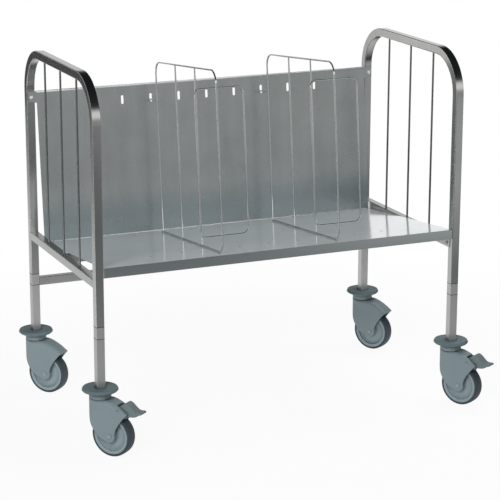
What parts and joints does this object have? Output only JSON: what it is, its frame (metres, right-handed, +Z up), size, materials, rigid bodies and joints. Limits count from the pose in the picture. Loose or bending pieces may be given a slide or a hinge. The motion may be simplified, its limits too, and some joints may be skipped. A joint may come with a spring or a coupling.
{
  "type": "food service trolley",
  "caption": "Stainless trolley with square-tube end hoops, sloping shelf, leaning slotted back panel, lift-out wire dividers and swivel casters with foot brakes.",
  "frame": {"origin": "on the floor, below the middle of the whole outline", "axes": "+X along the trolley to the right as seen from its open front, +Y to the back panel, +Z up"},
  "size_m": [1.2607, 0.778, 1.077],
  "materials": {
    "tube_steel": "satin",
    "sheet_steel": "satin",
    "bright_wire": "polished",
    "zinc_steel": "zinc plated",
    "hood": "satin",
    "wheel_centre": "satin",
    "bumper": "matt",
    "pedal": "matt",
    "tyre": "matt"
  },
  "bodies": {
    "frame": {"front_left_leg": "tube_steel", "front_left_bumper": "bumper", "front_left_neck": "hood", "front_left_stem": "zinc_steel", "front_right_leg": "tube_steel", "front_right_bumper": "bumper", "front_right_neck": "hood", "front_right_stem": "zinc_steel", "rear_left_leg": "tube_steel", "rear_left_bumper": "bumper", "rear_left_neck": "hood", "rear_left_stem": "zinc_steel", "rear_right_leg": "tube_steel", "rear_right_bumper": "bumper", "rear_right_neck": "hood", "rear_right_stem": "zinc_steel", "left_hoop": "tube_steel", "left_side_rail": "tube_steel", "left_hoop_wires": "bright_wire", "right_hoop": "tube_steel", "right_side_rail": "tube_steel", "right_hoop_wires": "bright_wire", "joint_collars": "tube_steel", "leg_spigots": "tube_steel", "middle_cross_tube": "tube_steel", "rear_cross_tube": "tube_steel", "shelf": "sheet_steel", "back_panel": "sheet_steel", "panel_screws": "zinc_steel", "shelf_brackets": "tube_steel", "bracket_screws": "zinc_steel"},
    "front_left_swivel": {"front_left_housing": "hood", "front_left_axle": "zinc_steel"},
    "front_left_wheel": {"front_left_hub": "wheel_centre", "front_left_tyre": "tyre"},
    "front_left_pedal": {"front_left_brake_pedal": "pedal"},
    "front_right_swivel": {"front_right_housing": "hood", "front_right_axle": "zinc_steel"},
    "front_right_wheel": {"front_right_hub": "wheel_centre", "front_right_tyre": "tyre"},
    "front_right_pedal": {"front_right_brake_pedal": "pedal"},
    "rear_left_swivel": {"rear_left_housing": "hood", "rear_left_axle": "zinc_steel"},
    "rear_left_wheel": {"rear_left_hub": "wheel_centre", "rear_left_tyre": "tyre"},
    "rear_right_swivel": {"rear_right_housing": "hood", "rear_right_axle": "zinc_steel"},
    "rear_right_wheel": {"rear_right_hub": "wheel_centre", "rear_right_tyre": "tyre"},
    "left_divider": {"left_divider_frame": "bright_wire", "left_divider_bars": "bright_wire", "left_divider_loop": "bright_wire", "left_divider_hook": "bright_wire"},
    "right_divider": {"right_divider_frame": "bright_wire", "right_divider_bars": "bright_wire", "right_divider_loop": "bright_wire", "right_divider_hook": "bright_wire"}
  },
  "joints": [
    {"name": "front_left_swivel", "type": "hinge", "parent": "frame", "child": "front_left_swivel", "pos_m": [-0.5785, -0.2575, 0.166], "axis": [0, 0, 1], "continuous": true},
    {"name": "front_left_roll", "type": "hinge", "parent": "front_left_swivel", "child": "front_left_wheel", "pos_m": [-0.55203, -0.29138, 0.0625], "axis": [0.788, 0.6157, 0], "continuous": true},
    {"name": "front_left_brake", "type": "hinge", "parent": "front_left_swivel", "child": "front_left_pedal", "pos_m": [-0.53417, -0.31424, 0.143], "axis": [0.788, 0.6157, 0], "range_deg": [0, 10]},
    {"name": "front_right_swivel", "type": "hinge", "parent": "frame", "child": "front_right_swivel", "pos_m": [0.5465, -0.2575, 0.166], "axis": [0, 0, 1], "continuous": true},
    {"name": "front_right_roll", "type": "hinge", "parent": "front_right_swivel", "child": "front_right_wheel", "pos_m": [0.568, -0.29474, 0.0625], "axis": [0.866, 0.5, 0], "continuous": true},
    {"name": "front_right_brake", "type": "hinge", "parent": "front_right_swivel", "child": "front_right_pedal", "pos_m": [0.5825, -0.31985, 0.143], "axis": [0.866, 0.5, 0], "range_deg": [0, 10]},
    {"name": "rear_left_swivel", "type": "hinge", "parent": "frame", "child": "rear_left_swivel", "pos_m": [-0.5785, 0.3375, 0.166], "axis": [0, 0, 1], "continuous": true},
    {"name": "rear_left_roll", "type": "hinge", "parent": "rear_left_swivel", "child": "rear_left_wheel", "pos_m": [-0.55086, 0.30456, 0.0625], "axis": [0.766, 0.6428, 0], "continuous": true},
    {"name": "rear_right_swivel", "type": "hinge", "parent": "frame", "child": "rear_right_swivel", "pos_m": [0.5465, 0.3375, 0.166], "axis": [0, 0, 1], "continuous": true},
    {"name": "rear_right_roll", "type": "hinge", "parent": "rear_right_swivel", "child": "rear_right_wheel", "pos_m": [0.56992, 0.30144, 0.0625], "axis": [0.8387, 0.5446, 0], "continuous": true},
    {"name": "left_divider_lift", "type": "slide", "parent": "frame", "child": "left_divider", "axis": [0, 0.1045, 0.9945], "range_m": [0, 0.014]},
    {"name": "right_divider_lift", "type": "slide", "parent": "frame", "child": "right_divider", "axis": [0, 0.1045, 0.9945], "range_m": [0, 0.014]}
  ]
}
